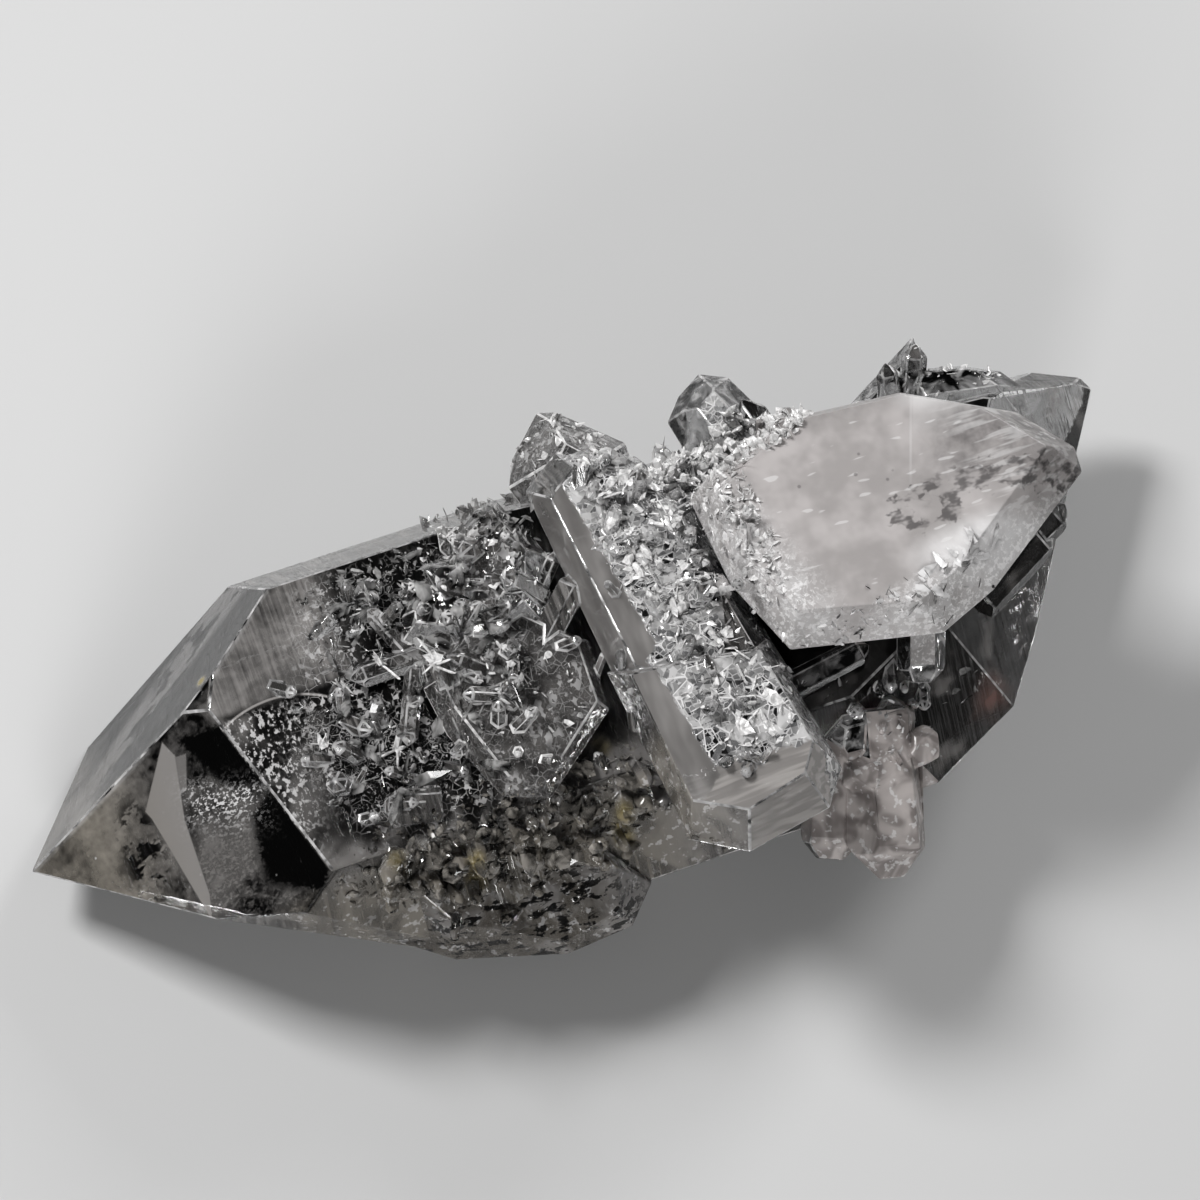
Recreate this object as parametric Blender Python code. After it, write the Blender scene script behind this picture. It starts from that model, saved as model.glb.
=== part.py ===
"""A natural cluster of quartz crystals that grew through and onto each other, modelled as one solid.

A long, flattened, six-sided main crystal lies on its broad lower face, along X, with its point at -X. A
second crystal lies across it, a big milky one sits on its right half, and thin plates, small single crystals
and a druse of tiny ones cover the rest. Every crystal is a convex block bounded by flat faces: prism faces
along its axis and pyramid faces at its ends. A Boolean union grows them together.

Metres, +Z up. Crystals are described in millimetres, in a frame that has X along the main crystal, Y away
from the front and Z = 0 at the face it lies on. The finished solid is then moved so that the origin is under
its middle.
"""

import math
import random
from dataclasses import dataclass

import bmesh
import bpy
from mathutils import Matrix, Vector

MM = 0.001
NODE_NAME = "quartz_cluster"
DRUSE_SEED = 11

# The pyramid faces of quartz lean 51.8 degrees from the long axis.
PYRAMID_LEAN = math.radians(51.8)
SIXTH = math.radians(60.0)

# Main crystal: the widths of its broad faces and side faces, where its middle line lies in Y and, from the
# widths, its height and the distance of its sides.
BROAD_WIDTH = 20.0
SIDE_WIDTH = 9.3
MAIN_LINE = -0.4
MAIN_HEIGHT = 2.0 * SIDE_WIDTH * math.sin(SIXTH)
MAIN_MIDDLE = MAIN_HEIGHT / 2.0
SIDE_DISTANCE = (BROAD_WIDTH + SIDE_WIDTH) / 2.0 * math.sin(SIXTH)

# Corners of the main crystal's left point.
LEFT_TIP = (-40.2, 0.4, 5.0)
LEFT_SHOULDER_BACK = (-20.2, 9.6, MAIN_HEIGHT)
LEFT_SIDE_BACK = (-21.9, 14.2, MAIN_MIDDLE)
LEFT_SHOULDER_MIDDLE = (-26.7, 4.0, MAIN_HEIGHT)
LEFT_SHOULDER_FRONT = (-22.3, -10.4, MAIN_HEIGHT)
LEFT_CHIN = (-30.1, -8.9, 10.5)
LEFT_SIDE_FRONT = (-19.0, -14.5, 8.7)
LEFT_CHEEK = (-21.9, -12.7, 11.7)
LEFT_CHEEK_FOOT = (-19.0, -12.5, 0.0)
LEFT_NICK = (-25.9, 3.7, MAIN_HEIGHT)
LEFT_NICK_NORMAL = (-0.45, 0.2, 0.87)

# Corners of the main crystal's right end at half height, from the back to the front, with the steepness of
# the two faces between each and the next. The last one only ends the row.
RIGHT_END = (
    (-4.0, 14.3, 60.0),
    (34.6, 10.9, 52.0),
    (37.6, 9.4, 52.0),
    (38.5, 7.2, 52.0),
    (27.5, -7.5, 52.0),
    (24.9, -11.4, 52.0),
    (15.8, -16.0, 52.0),
)

# A regular six-sided prism is this much thinner between faces than across corners. The druse's crystals are
# regular, with these widths to their length, and sink into their ground by this share of their width.
REGULAR = math.cos(SIXTH / 2.0)
DRUSE_SLENDERNESS = (0.32, 0.62)
DRUSE_SINK = 0.35

# Half the edge of the cube that each crystal is cut from, the distance in metres within which corners meet,
# and the angle within which triangles are one face.
CUBE_REACH = 60.0
MEETING_GAP = 1.0e-6
FLAT_WITHIN = math.radians(0.05)


@dataclass(frozen=True)
class Block:
    """A large crystal seen from above, in millimetres and degrees.

    Each corner is (x, y, steepness): a corner of the outline at middle height, going round, and the steepness
    of the two faces, one rising and one falling, that leave the side from this corner to the next. top and
    bottom are the heights of the broad faces, and up is the direction that the upper one looks to.
    """

    corners: tuple[tuple[float, float, float], ...]
    middle: float
    top: float
    bottom: float
    up: tuple[float, float, float] = (0.0, 0.0, 1.0)


@dataclass(frozen=True)
class Crystal:
    """A small crystal from root to tip, in millimetres.

    width is across the corners of its broad faces and thickness is between them. up is roughly the direction
    that a broad face looks to. lesser moves three of the six pyramid faces outwards, and flat_tip cuts the
    tip square that far short of its end.
    """

    root: tuple[float, float, float]
    tip: tuple[float, float, float]
    width: float
    thickness: float
    up: tuple[float, float, float] = (0.0, 0.0, 1.0)
    lesser: float = 0.3
    flat_tip: float = 0.0


@dataclass(frozen=True)
class Patch:
    """A patch of druse: tiny crystals rooted where lines through an ellipse meet the crystals below it.

    Millimetres and degrees. The ellipse is centred over the patch and looks along normal. length and lean
    give the least and the most that a tiny crystal grows and leans from that normal.
    """

    centre: tuple[float, float, float]
    normal: tuple[float, float, float]
    along: tuple[float, float, float]
    half_length: float
    half_width: float
    count: int
    length: tuple[float, float]
    lean: tuple[float, float]


BLOCKS = {
    "milky": Block(
        (
            (13.4, 6.9, 62.0),
            (22.3, 6.1, 62.0),
            (28.9, 2.2, 52.0),
            (31.5, -1.4, 52.0),
            (31.3, -3.2, 50.0),
            (22.9, -9.0, 55.0),
            (18.8, -10.7, 66.0),
            (9.2, -8.5, 70.0),
            (7.2, -3.0, 70.0),
            (6.8, 3.5, 60.0),
        ),
        22.5,
        25.6,
        11.0,
        (0.03, -0.06, 1.0),
    ),
    "crossing_upper": Block(
        (
            (-2.4, 9.2, 50.0),
            (0.4, 11.2, 50.0),
            (5.2, 9.2, 55.0),
            (7.2, 5.6, 62.0),
            (9.4, -9.0, 60.0),
            (4.6, -13.2, 55.0),
            (-1.2, -8.6, 74.0),
        ),
        19.0,
        22.4,
        11.0,
        (-0.08, 0.04, 1.0),
    ),
    "crossing_lower": Block(
        (
            (-1.9, -5.0, 60.0),
            (2.2, -5.4, 60.0),
            (8.6, -6.4, 66.0),
            (9.9, -16.2, 60.0),
            (8.2, -18.5, 62.0),
            (2.4, -19.6, 60.0),
            (-0.8, -17.6, 76.0),
        ),
        20.0,
        23.2,
        11.4,
        (-0.08, -0.04, 1.0),
    ),
    "saddle": Block(
        (
            (5.2, 9.4, 55.0),
            (9.4, 9.6, 50.0),
            (12.6, 9.8, 55.0),
            (16.6, 8.4, 60.0),
            (16.0, 1.0, 60.0),
            (7.0, -2.0, 60.0),
            (4.0, 2.0, 60.0),
        ),
        16.0,
        19.4,
        11.0,
        (-0.1, 0.15, 1.0),
    ),
    "upper_plate": Block(
        (
            (-13.2, 2.6, 60.0),
            (-12.6, 4.3, 60.0),
            (-7.0, 8.9, 60.0),
            (-5.5, 9.9, 60.0),
            (-4.1, 9.9, 60.0),
            (-2.2, 5.0, 60.0),
            (-4.0, 0.4, 60.0),
            (-8.0, -1.0, 60.0),
        ),
        17.2,
        19.4,
        14.6,
        (-0.14, 0.05, 1.0),
    ),
    "lower_plate": Block(
        (
            (-13.0, -1.0, 60.0),
            (-10.0, 1.8, 60.0),
            (-5.2, 2.2, 60.0),
            (-1.8, -1.4, 60.0),
            (-2.2, -6.4, 60.0),
            (-7.8, -10.9, 55.0),
            (-10.6, -9.8, 55.0),
            (-12.6, -4.6, 60.0),
        ),
        17.2,
        18.8,
        14.6,
        (0.04, -0.08, 1.0),
    ),
    "bulge": Block(
        (
            (-22.0, -11.4, 66.0),
            (-16.2, -15.9, 66.0),
            (-9.2, -18.0, 66.0),
            (-4.6, -17.6, 60.0),
            (-2.4, -15.2, 60.0),
            (-4.0, -9.0, 60.0),
            (-19.0, -8.0, 60.0),
        ),
        8.0,
        12.0,
        1.8,
        (-0.04, -0.75, 1.0),
    ),
    "crossing_knob": Block(
        (
            (-2.8, 11.6, 55.0),
            (-1.9, 13.5, 50.0),
            (0.8, 16.2, 50.0),
            (2.0, 15.8, 50.0),
            (5.6, 12.1, 60.0),
            (5.4, 8.0, 60.0),
            (-1.8, 7.6, 60.0),
        ),
        15.0,
        19.2,
        11.2,
        (-0.1, 0.15, 1.0),
    ),
    "clear_knob": Block(
        (
            (9.0, 13.3, 60.0),
            (10.4, 14.9, 50.0),
            (12.2, 16.0, 50.0),
            (14.0, 15.1, 50.0),
            (15.2, 12.2, 60.0),
            (14.6, 6.0, 60.0),
            (10.0, 6.4, 60.0),
        ),
        13.4,
        16.4,
        10.2,
        (-0.15, 0.1, 1.0),
    ),
    "far_spike": Block(
        (
            (21.0, 10.6, 55.0),
            (26.9, 14.0, 50.0),
            (26.7, 11.7, 55.0),
            (25.0, 7.4, 60.0),
            (21.0, 7.0, 60.0),
        ),
        13.0,
        14.8,
        10.8,
    ),
    "far_stepped": Block(
        (
            (24.0, 12.0, 60.0),
            (29.0, 10.7, 60.0),
            (31.4, 9.4, 50.0),
            (32.5, 7.6, 50.0),
            (31.5, 5.6, 60.0),
            (24.0, 7.2, 60.0),
        ),
        13.2,
        15.6,
        10.0,
        (0.0, 0.1, 1.0),
    ),
}

# Single small crystals that stand out by themselves.
NEARWARD = (0.0, -1.0, 0.3)
SINGLES = {
    "near_column": Crystal((14.6, -10.6, 13.2), (12.0, -21.0, 8.4), 5.4, 4.6, (0.2, -0.3, 1.0), 0.5, 0.7),
    "near_crown_left": Crystal((12.2, -12.8, 10.6), (12.7, -11.2, 15.8), 3.8, 3.4, NEARWARD, 0.3, 0.8),
    "near_crown_right": Crystal((14.8, -12.4, 10.6), (15.5, -11.4, 15.6), 3.4, 3.0, NEARWARD, 0.3, 0.7),
    "near_bulb": Crystal((15.0, -13.4, 11.0), (17.6, -14.4, 14.4), 2.7, 2.5, (0.4, -0.6, 1.0), 0.3, 0.6),
    "near_boss": Crystal((13.0, -13.6, 11.0), (12.3, -15.4, 14.6), 3.6, 3.2, (-0.2, -0.4, 1.0), 0.4, 0.8),
    "near_lobe": Crystal((11.2, -12.6, 11.0), (8.8, -18.4, 8.0), 4.2, 3.6, (-0.3, -0.2, 1.0), 0.4, 0.8),
    "hanging": Crystal((19.4, -6.0, 17.6), (17.5, -11.2, 15.0), 3.2, 2.7, (0.0, -0.2, 1.0), 0.3, 0.6),
    "near_blade": Crystal((9.0, -8.6, 16.4), (15.2, -7.7, 16.8), 1.9, 1.3, (0.0, -0.4, 1.0), 0.2),
    "milky_flank_near": Crystal((23.4, -6.6, 15.0), (29.8, -3.0, 14.6), 2.8, 2.4, (0.2, -0.5, 1.0), 0.3),
    "milky_flank_far": Crystal((25.6, -4.6, 14.6), (31.4, -1.8, 14.8), 2.6, 2.2, (0.2, -0.4, 1.0), 0.3),
    "arch_left": Crystal((6.4, 8.4, 13.8), (7.9, 11.6, 14.4), 1.0, 0.9, (0.0, 0.2, 1.0), 0.1),
    "arch_right": Crystal((9.0, 8.4, 13.8), (7.5, 11.5, 14.4), 1.0, 0.9, (0.0, 0.2, 1.0), 0.1),
    "star_left": Crystal((-12.2, 1.6, 16.4), (-17.2, 1.3, 16.9), 1.7, 1.4, (0.0, -0.2, 1.0), 0.2),
    "star_front": Crystal((-13.0, 0.8, 16.2), (-15.2, -4.4, 17.0), 1.3, 1.1, (0.2, 0.0, 1.0), 0.2),
    "star_back": Crystal((-12.6, 1.0, 16.4), (-14.6, 5.4, 17.6), 1.3, 1.0, (0.2, 0.0, 1.0), 0.2),
    "front_stub": Crystal((-14.4, -8.6, 16.2), (-18.2, -7.6, 16.6), 2.4, 1.9, (0.0, -0.2, 1.0), 0.3, 0.3),
    "plate_rib": Crystal((-4.6, 1.6, 17.4), (-8.6, 9.0, 18.2), 2.4, 1.6, (0.3, 0.2, 1.0), 0.2),
    "plate_spur": Crystal((-6.0, -2.0, 17.4), (-1.0, 2.4, 19.4), 2.2, 1.7, (-0.3, 0.3, 1.0), 0.2),
    "back_cluster_a": Crystal((15.0, 7.6, 13.6), (13.6, 11.8, 16.6), 2.6, 2.2, (0.2, 0.2, 1.0), 0.2),
    "back_cluster_b": Crystal((16.4, 7.4, 13.8), (16.2, 10.6, 15.2), 2.4, 2.0, (0.1, 0.2, 1.0), 0.2),
    "back_cluster_c": Crystal((17.6, 7.2, 13.6), (18.4, 9.6, 14.8), 2.4, 2.0, (0.0, 0.2, 1.0), 0.2),
    "back_cluster_d": Crystal((14.0, 6.6, 15.6), (12.4, 8.8, 19.4), 2.2, 1.9, (0.4, 0.1, 1.0), 0.2),
    "back_cluster_e": Crystal((15.8, 6.6, 16.0), (15.4, 8.8, 20.0), 2.2, 1.9, (0.3, 0.1, 1.0), 0.2),
    "spike_side_a": Crystal((24.4, 8.4, 13.6), (26.0, 11.8, 16.6), 1.8, 1.5, (0.1, 0.2, 1.0), 0.2),
    "spike_side_b": Crystal((23.2, 8.4, 13.6), (23.6, 11.2, 16.4), 1.6, 1.3, (0.1, 0.2, 1.0), 0.2),
}

UPWARD = (0.0, 0.0, 1.0)
FRONT_SIDE = (0.0, -math.sin(SIXTH), math.cos(SIXTH))
BACK_SIDE = (0.0, math.sin(SIXTH), math.cos(SIXTH))
LENGTHWISE = (1.0, 0.0, 0.0)
CROSSWISE = (0.1, -1.0, 0.0)
DRUSE = (
    Patch((-15.0, -1.0, 30.0), UPWARD, LENGTHWISE, 8.4, 8.4, 34, (1.1, 2.6), (10.0, 80.0)),
    Patch((-9.5, 5.2, 30.0), UPWARD, LENGTHWISE, 7.4, 2.6, 15, (1.0, 2.0), (15.0, 75.0)),
    Patch((-5.0, -6.0, 30.0), UPWARD, LENGTHWISE, 4.6, 4.6, 12, (1.0, 2.2), (10.0, 75.0)),
    Patch((-10.4, -24.0, 22.0), FRONT_SIDE, LENGTHWISE, 11.0, 2.8, 34, (1.2, 2.8), (0.0, 55.0)),
    Patch((-10.0, -28.0, 20.0), FRONT_SIDE, LENGTHWISE, 8.0, 2.0, 10, (1.0, 2.2), (0.0, 50.0)),
    Patch((-7.4, 2.0, 30.0), UPWARD, (0.6, 1.0, 0.0), 6.6, 3.6, 18, (1.2, 3.0), (20.0, 80.0)),
    Patch((3.2, 1.6, 30.0), UPWARD, CROSSWISE, 7.4, 3.4, 25, (1.0, 2.6), (20.0, 80.0)),
    Patch((4.2, -10.4, 30.0), UPWARD, CROSSWISE, 5.0, 3.0, 11, (0.9, 2.2), (30.0, 82.0)),
    Patch((7.0, 2.4, 30.0), UPWARD, CROSSWISE, 7.0, 2.2, 14, (1.0, 2.4), (10.0, 65.0)),
    Patch((10.6, 7.4, 30.0), UPWARD, LENGTHWISE, 5.2, 2.4, 16, (1.0, 2.2), (0.0, 50.0)),
    Patch((15.4, -22.0, 20.3), FRONT_SIDE, LENGTHWISE, 3.6, 2.4, 9, (0.9, 1.8), (0.0, 60.0)),
    Patch((4.0, 27.0, 15.4), BACK_SIDE, LENGTHWISE, 13.0, 2.6, 14, (1.0, 1.9), (0.0, 50.0)),
)


def scaled(point):
    """A point given in millimetres, as a vector in metres."""
    return Vector(point) * MM


def convex_solid(name, centre, planes):
    """An object bounded by flat faces: a cube round the centre, cut by each plane (point, outward normal)."""
    shape = bmesh.new()
    bmesh.ops.create_cube(shape, size=2.0 * CUBE_REACH * MM, matrix=Matrix.Translation(scaled(centre)))
    for point, normal in planes:
        everything = shape.verts[:] + shape.edges[:] + shape.faces[:]
        cut = bmesh.ops.bisect_plane(
            shape,
            geom=everything,
            dist=MEETING_GAP,
            plane_co=scaled(point),
            plane_no=Vector(normal),
            clear_outer=True,
        )
        rim = [item for item in cut["geom_cut"] if isinstance(item, bmesh.types.BMEdge)]
        if rim:
            bmesh.ops.contextual_create(shape, geom=rim)
    bmesh.ops.recalc_face_normals(shape, faces=shape.faces)
    mesh = bpy.data.meshes.new(name)
    shape.to_mesh(mesh)
    shape.free()
    solid = bpy.data.objects.new(name, mesh)
    bpy.context.scene.collection.objects.link(solid)
    return solid


def plane_through(first, second, third, inside):
    """The plane through three points, as a point and the normal that looks away from the inside point."""
    first, second, third = Vector(first), Vector(second), Vector(third)
    normal = (second - first).cross(third - first).normalized()
    if normal.dot(Vector(inside) - first) > 0.0:
        normal = -normal
    return first, normal


def side_planes(start, end, middle, steepness, inside):
    """The rising and the falling face that meet along one side of an outline at middle height."""
    along = Vector((end[0] - start[0], end[1] - start[1], 0.0)).normalized()
    outward = Vector((along.y, -along.x, 0.0))
    point = Vector((start[0], start[1], middle))
    if outward.dot(Vector(inside) - point) > 0.0:
        outward = -outward
    level = outward * math.sin(math.radians(steepness))
    rise = Vector((0.0, 0.0, math.cos(math.radians(steepness))))
    return [(point, level + rise), (point, level - rise)]


def main_crystal():
    """The main crystal: six prism faces along X, the pyramid at its left and the bevelled right end."""
    inside = (0.0, MAIN_LINE, MAIN_MIDDLE)
    planes = []
    for face in range(6):
        turn = face * SIXTH
        outward = Vector((0.0, math.sin(turn), math.cos(turn)))
        distance = MAIN_MIDDLE if face in (0, 3) else SIDE_DISTANCE
        planes.append((Vector(inside) + outward * distance, outward))
    planes.append(plane_through(LEFT_TIP, LEFT_SHOULDER_BACK, LEFT_SIDE_BACK, inside))
    planes.append(plane_through(LEFT_TIP, LEFT_SHOULDER_MIDDLE, LEFT_SHOULDER_FRONT, inside))
    planes.append(plane_through(LEFT_TIP, LEFT_CHIN, LEFT_SIDE_FRONT, inside))
    planes.append(plane_through(LEFT_CHIN, LEFT_CHEEK, LEFT_CHEEK_FOOT, inside))
    planes.append((LEFT_TIP, (-math.cos(PYRAMID_LEAN), 0.0, -math.sin(PYRAMID_LEAN))))
    planes.append((LEFT_NICK, LEFT_NICK_NORMAL))
    for start, end in zip(RIGHT_END, RIGHT_END[1:]):
        planes += side_planes(start, end, MAIN_MIDDLE, start[2], inside)
    return convex_solid("main", inside, planes)


def block(name, shape):
    """A large crystal: the faces that leave its outline and the two broad faces."""
    count = len(shape.corners)
    centre = Vector(
        (
            sum(corner[0] for corner in shape.corners) / count,
            sum(corner[1] for corner in shape.corners) / count,
            shape.middle,
        )
    )
    planes = [
        ((centre.x, centre.y, shape.top), shape.up),
        ((centre.x, centre.y, shape.bottom), (0.0, 0.0, -1.0)),
    ]
    for index, start in enumerate(shape.corners):
        end = shape.corners[(index + 1) % count]
        planes += side_planes(start, end, shape.middle, start[2], centre)
    return convex_solid(name, centre, planes)


def crystal(name, shape):
    """A small crystal: six prism faces round the line from root to tip, a pyramid and a square root."""
    root, tip = Vector(shape.root), Vector(shape.tip)
    axis = (tip - root).normalized()
    broad = Vector(shape.up) - axis * axis.dot(Vector(shape.up))
    broad.normalize()
    across = axis.cross(broad)
    middle = (root + tip) / 2.0
    side_distance = shape.width / 2.0 * REGULAR
    planes = []
    for face in range(6):
        turn = face * SIXTH
        outward = broad * math.cos(turn) + across * math.sin(turn)
        distance = shape.thickness / 2.0 if face in (0, 3) else side_distance
        planes.append((middle + outward * distance, outward))
        further = shape.lesser * (face % 2)
        slope = outward * math.sin(PYRAMID_LEAN)
        planes.append((tip + axis * further, slope + axis * math.cos(PYRAMID_LEAN)))
    planes.append((root, -axis))
    if shape.flat_tip > 0.0:
        planes.append((tip - axis * shape.flat_tip, axis))
    return convex_solid(name, middle, planes)


def druse_crystals(patch, chance):
    """Tiny crystals rooted at random under a patch, each leaning its own way from the patch's normal."""
    normal = Vector(patch.normal).normalized()
    along = Vector(patch.along)
    along = (along - normal * normal.dot(along)).normalized()
    sideways = normal.cross(along)
    graph = bpy.context.evaluated_depsgraph_get()
    found = []
    for _ in range(patch.count):
        reach = math.sqrt(chance.random())
        bearing = chance.uniform(0.0, 2.0 * math.pi)
        above = (
            Vector(patch.centre)
            + along * (reach * patch.half_length * math.cos(bearing))
            + sideways * (reach * patch.half_width * math.sin(bearing))
        )
        lean = math.radians(chance.uniform(*patch.lean))
        heading = chance.uniform(0.0, 2.0 * math.pi)
        length = chance.uniform(*patch.length)
        width = length * chance.uniform(*DRUSE_SLENDERNESS)
        met, place, *_ = bpy.context.scene.ray_cast(graph, above * MM, -normal)
        if not met:
            continue
        level = along * math.cos(heading) + sideways * math.sin(heading)
        axis = normal * math.cos(lean) + level * math.sin(lean)
        place = place / MM
        root = place - axis * (width * 0.5) - normal * (width * DRUSE_SINK)
        found.append(
            Crystal(
                tuple(root),
                tuple(place + axis * length),
                width,
                width * REGULAR,
                tuple(normal + along * chance.uniform(-0.5, 0.5)),
                0.0,
            )
        )
    return found


def grown_together(body, others):
    """One mesh that is the union of the body and every other crystal, whose objects are removed."""
    crowd = bpy.data.collections.new("crystals")
    for other in others:
        bpy.context.scene.collection.objects.unlink(other)
        crowd.objects.link(other)
    bpy.context.scene.collection.children.link(crowd)
    union = body.modifiers.new("Grown together", "BOOLEAN")
    union.operation = "UNION"
    union.operand_type = "COLLECTION"
    union.collection = crowd
    union.solver = "EXACT"
    bpy.context.view_layer.update()
    mesh = bpy.data.meshes.new_from_object(body.evaluated_get(bpy.context.evaluated_depsgraph_get()))
    for piece in [body, *others]:
        bpy.data.objects.remove(piece)
    bpy.data.collections.remove(crowd)
    return mesh


def outer_skin(mesh):
    """Fills the pockets that are shut in between crystals, and merges the triangles of each flat face."""
    shape = bmesh.new()
    shape.from_mesh(mesh)
    unseen = set(shape.faces)
    skins = []
    while unseen:
        skin = set()
        front = [unseen.pop()]
        while front:
            face = front.pop()
            skin.add(face)
            for edge in face.edges:
                for neighbour in edge.link_faces:
                    if neighbour in unseen:
                        unseen.discard(neighbour)
                        front.append(neighbour)
        skins.append(skin)
    skins.sort(key=len)
    for pocket in skins[:-1]:
        bmesh.ops.delete(shape, geom=list(pocket), context="FACES")
    bmesh.ops.dissolve_limit(
        shape,
        angle_limit=FLAT_WITHIN,
        verts=shape.verts[:],
        edges=shape.edges[:],
    )
    bmesh.ops.triangulate(shape, faces=shape.faces[:])
    shape.to_mesh(mesh)
    shape.free()


def stand_over_origin(mesh):
    """Moves the mesh so that the origin is under the middle of its box, in the plane it rests on."""
    lowest = Vector([min(vertex.co[axis] for vertex in mesh.vertices) for axis in range(3)])
    highest = Vector([max(vertex.co[axis] for vertex in mesh.vertices) for axis in range(3)])
    middle = (lowest + highest) / 2.0
    mesh.transform(Matrix.Translation((-middle.x, -middle.y, -lowest.z)))


def quartz_material():
    """Clear, faintly grey quartz."""
    material = bpy.data.materials.new("clear_quartz")
    material.use_nodes = True
    shader = material.node_tree.nodes["Principled BSDF"]
    shader.inputs["Base Color"].default_value = (0.86, 0.85, 0.84, 1.0)
    shader.inputs["Metallic"].default_value = 0.0
    shader.inputs["Roughness"].default_value = 0.06
    shader.inputs["IOR"].default_value = 1.544
    shader.inputs["Transmission Weight"].default_value = 0.9
    return material


def main():
    """Builds the cluster as one object."""
    for old in list(bpy.data.objects):
        bpy.data.objects.remove(old)
    chance = random.Random(DRUSE_SEED)
    others = [block(name, shape) for name, shape in BLOCKS.items()]
    others += [crystal(name, shape) for name, shape in SINGLES.items()]
    body = main_crystal()
    bpy.context.view_layer.update()
    tiny = [shape for patch in DRUSE for shape in druse_crystals(patch, chance)]
    others += [crystal("druse", shape) for shape in tiny]
    mesh = grown_together(body, others)
    outer_skin(mesh)
    stand_over_origin(mesh)
    mesh.materials.clear()
    mesh.materials.append(quartz_material())
    mesh.name = NODE_NAME
    cluster = bpy.data.objects.new(NODE_NAME, mesh)
    bpy.context.scene.collection.objects.link(cluster)


main()
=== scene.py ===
"""Looks of the quartz cluster: clear and milky crystals, their druse and veils, and the studio.

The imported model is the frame. Its one solid is replaced by a copy with softened edges, and the
druse of crystals too small for the solid grows on it. Sizes are in millimetres in the classes and
in metres in the meshes.
"""

import logging
import math
from dataclasses import dataclass
from enum import Enum
from typing import Any

import bpy
import numpy as np
from mathutils import Matrix, Vector
from mathutils.bvhtree import BVHTree


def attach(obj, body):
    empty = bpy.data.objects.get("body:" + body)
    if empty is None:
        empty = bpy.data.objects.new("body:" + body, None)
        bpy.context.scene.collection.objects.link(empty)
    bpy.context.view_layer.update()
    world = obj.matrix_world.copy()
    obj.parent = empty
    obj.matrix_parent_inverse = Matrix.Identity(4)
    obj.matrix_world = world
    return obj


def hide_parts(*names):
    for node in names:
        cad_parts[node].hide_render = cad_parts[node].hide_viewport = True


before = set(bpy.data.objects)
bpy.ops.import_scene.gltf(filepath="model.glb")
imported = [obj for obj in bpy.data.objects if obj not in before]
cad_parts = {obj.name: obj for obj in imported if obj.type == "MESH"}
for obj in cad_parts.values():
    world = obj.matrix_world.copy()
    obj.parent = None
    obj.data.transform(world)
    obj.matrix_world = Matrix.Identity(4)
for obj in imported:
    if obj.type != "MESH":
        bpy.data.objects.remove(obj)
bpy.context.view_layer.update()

MM = 0.001
NODE = "quartz_cluster"
Triple = tuple[float, float, float]

# Places are given in millimetres from the main crystal's own origin. It lies at SHIFT in the frame
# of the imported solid, whose origin is under the middle of the solid's box.
SHIFT = Vector((1.078, 2.264, 0.0))

log = logging.getLogger("quartz_cluster")


class Value:
    """A number socket of a shader, with the arithmetic of Python."""

    def __init__(self, sheet: "Sheet", socket: Any) -> None:
        """Wraps an output socket of a sheet, or a plain number."""
        self.sheet = sheet
        self.socket = socket

    def _math(self, operation: str, *others: Any, clamp: bool = False) -> "Value":
        """One Math node on this value and the others, kept from 0 to 1 if clamp is set."""
        settings = {"operation": operation, "use_clamp": clamp}
        return self.sheet.node("ShaderNodeMath", settings, dict(enumerate([self, *others])))

    def __add__(self, other: Any) -> "Value":
        """This plus other."""
        return self._math("ADD", other)

    def __radd__(self, other: Any) -> "Value":
        """Other plus this."""
        return self._math("ADD", other)

    def __sub__(self, other: Any) -> "Value":
        """This minus other."""
        return self._math("SUBTRACT", other)

    def __rsub__(self, other: Any) -> "Value":
        """Other minus this."""
        return (self * -1.0) + other

    def __mul__(self, other: Any) -> "Value":
        """This times other."""
        return self._math("MULTIPLY", other)

    def least(self, other: Any) -> "Value":
        """The smaller of this and other."""
        return self._math("MINIMUM", other)

    def most(self, other: Any) -> "Value":
        """The larger of this and other."""
        return self._math("MAXIMUM", other)

    def clamped(self) -> "Value":
        """This kept from 0 to 1."""
        return self._math("ADD", 0.0, clamp=True)

    def distance(self, other: Any) -> "Value":
        """How far this is from other."""
        return (self - other)._math("ABSOLUTE")

    def ramp(self, low: float, high: float) -> "Value":
        """A smooth rise over a stretch of this value.

        Args:
            low: Where it is 0.
            high: Where it is 1. It falls instead when this is less than low.

        Returns:
            The rise, from 0 to 1.
        """
        start, end = (low, high) if low < high else (high, low)
        ends = (0.0, 1.0) if low < high else (1.0, 0.0)
        return self.sheet.node(
            "ShaderNodeMapRange",
            {"interpolation_type": "SMOOTHSTEP"},
            {"Value": self, "From Min": start, "From Max": end, "To Min": ends[0], "To Max": ends[1]},
        )


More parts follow.
